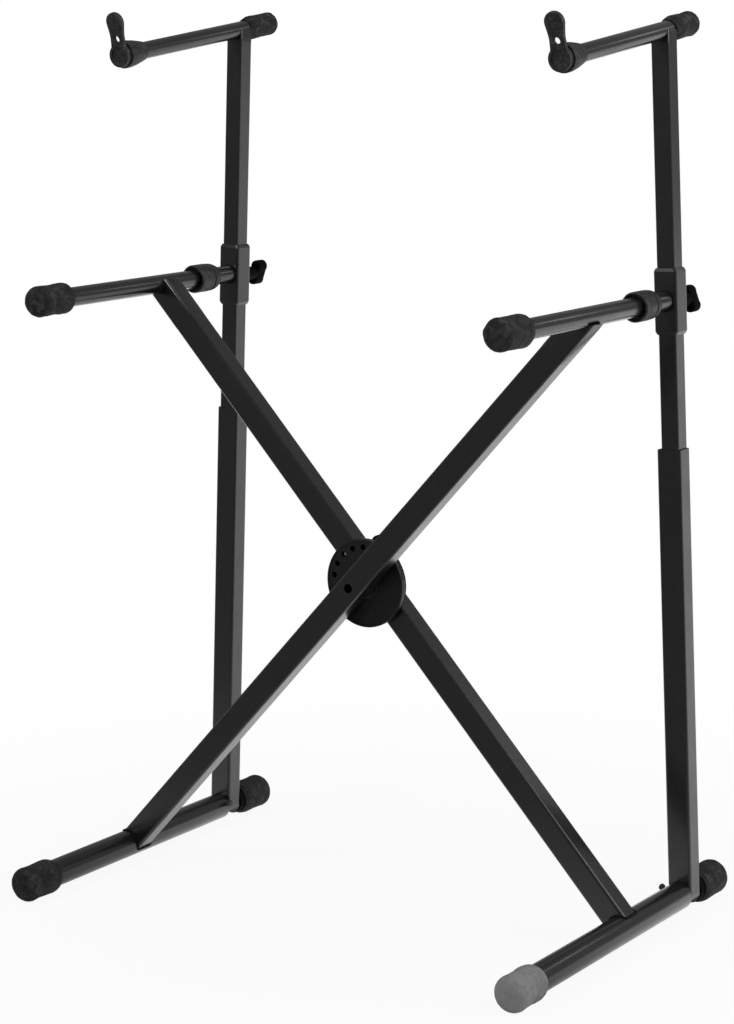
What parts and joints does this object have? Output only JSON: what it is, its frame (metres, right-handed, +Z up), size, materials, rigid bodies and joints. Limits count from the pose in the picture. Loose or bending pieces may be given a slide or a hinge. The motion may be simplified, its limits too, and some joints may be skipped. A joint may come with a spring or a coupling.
{
  "type": "keyboard stand",
  "caption": "Folding X keyboard stand with a locking hub, rubber feet, telescoping posts and an arm pair for each of the tiers.",
  "frame": {"origin": "on the floor, in the middle of the four feet", "axes": "+Z up, +Y towards the posts at the rear, +X to the right as seen from the front"},
  "size_m": [0.7934, 0.5404, 1.1579],
  "materials": {
    "black_steel": "satin black powder coat",
    "rubber": "matte charcoal",
    "grey_rubber": "matte mid grey",
    "plastic": "moulded, fine grain",
    "dark_plastic": "moulded black",
    "bright_steel": "bright zinc"
  },
  "bodies": {
    "front_leg": {"leg_front": "black_steel", "base_tube_left": "black_steel", "foot_cap_front_left": "rubber", "foot_cap_rear_left": "rubber", "spindle_left": "bright_steel", "base_stub_left": "black_steel", "detent_screw_left": "dark_plastic", "arm_lower_right": "black_steel", "arm_cap_lower_right": "rubber", "swivel_bush_right": "plastic", "index_disc": "black_steel", "pivot_bolt": "bright_steel", "pivot_nut": "bright_steel"},
    "rear_leg": {"leg_rear": "black_steel", "base_tube_right": "black_steel", "foot_cap_front_right": "grey_rubber", "foot_cap_rear_right": "rubber", "spindle_right": "bright_steel", "base_stub_right": "black_steel", "detent_screw_right": "dark_plastic", "arm_lower_left": "black_steel", "arm_cap_lower_left": "rubber", "swivel_bush_left": "plastic", "hub_washer": "dark_plastic", "lock_housing": "black_steel"},
    "lock_plunger": {"lock_pin": "bright_steel", "lock_knob": "dark_plastic"},
    "post_left": {"post_outer_left": "black_steel"},
    "collar_body_left": {"collar_left": "black_steel", "collar_shaft_left": "black_steel"},
    "tier_left": {"post_inner_left": "black_steel", "arm_upper_left": "black_steel", "arm_cap_upper_left": "rubber", "arm_collar_upper_left": "plastic"},
    "knob_body_left": {"knob_left": "dark_plastic", "knob_screw_left": "bright_steel"},
    "stop_left": {"end_stop_left": "plastic"},
    "post_right": {"post_outer_right": "black_steel"},
    "collar_body_right": {"collar_right": "black_steel", "collar_shaft_right": "black_steel"},
    "tier_right": {"post_inner_right": "black_steel", "arm_upper_right": "black_steel", "arm_cap_upper_right": "rubber", "arm_collar_upper_right": "plastic"},
    "knob_body_right": {"knob_right": "dark_plastic", "knob_screw_right": "bright_steel"},
    "stop_right": {"end_stop_right": "plastic"}
  },
  "joints": [
    {"name": "scissor", "type": "hinge", "parent": "front_leg", "child": "rear_leg", "pos_m": [0, 0, 0.42742], "axis": [0, 1, 0], "range_deg": [-20, 80]},
    {"name": "lock_pin_slide", "type": "slide", "parent": "rear_leg", "child": "lock_plunger", "axis": [0, 1, 0], "range_m": [-0.005, 0]},
    {"name": "post_turn_left", "type": "hinge", "parent": "front_leg", "child": "post_left", "pos_m": [-0.37319, 0.18175, 0.023], "axis": [0, 1, 0], "range_deg": [-9.87, 37.96]},
    {"name": "collar_turn_left", "type": "hinge", "parent": "rear_leg", "child": "collar_body_left", "pos_m": [-0.34084, 0.18175, 0.79679], "axis": [0, 1, 0], "range_deg": [-43.04, 11.13]},
    {"name": "tier_slide_left", "type": "slide", "parent": "collar_body_left", "child": "tier_left", "axis": [0.0435, 0, 0.9991], "range_m": [-0.05, 0.04]},
    {"name": "knob_turn_left", "type": "hinge", "parent": "collar_body_left", "child": "knob_body_left", "pos_m": [-0.34097, 0.18175, 0.79379], "axis": [0, 1, 0], "range_deg": [0, 180]},
    {"name": "stop_turn_left", "type": "hinge", "parent": "tier_left", "child": "stop_left", "pos_m": [-0.32626, 0.18175, 1.13147], "axis": [-0.0049, -0.9937, -0.1121], "range_deg": [0, 90]},
    {"name": "post_turn_right", "type": "hinge", "parent": "rear_leg", "child": "post_right", "pos_m": [0.37319, 0.18175, 0.023], "axis": [0, 1, 0], "range_deg": [-37.96, 9.87]},
    {"name": "collar_turn_right", "type": "hinge", "parent": "front_leg", "child": "collar_body_right", "pos_m": [0.34084, 0.18175, 0.79679], "axis": [0, 1, 0], "range_deg": [-11.13, 43.04]},
    {"name": "tier_slide_right", "type": "slide", "parent": "collar_body_right", "child": "tier_right", "axis": [-0.0435, 0, 0.9991], "range_m": [-0.05, 0.04]},
    {"name": "knob_turn_right", "type": "hinge", "parent": "collar_body_right", "child": "knob_body_right", "pos_m": [0.34097, 0.18175, 0.79379], "axis": [0, 1, 0], "range_deg": [0, 180]},
    {"name": "stop_turn_right", "type": "hinge", "parent": "tier_right", "child": "stop_right", "pos_m": [0.32626, 0.18175, 1.13147], "axis": [-0.0049, 0.9937, 0.1121], "range_deg": [0, 90]}
  ],
  "couplings": [
    {"joint": "post_turn_left", "follows": "scissor", "ratio": 0.46823},
    {"joint": "collar_turn_left", "follows": "scissor", "ratio": -0.53177},
    {"joint": "post_turn_right", "follows": "scissor", "ratio": -0.46823},
    {"joint": "collar_turn_right", "follows": "scissor", "ratio": 0.53177}
  ]
}
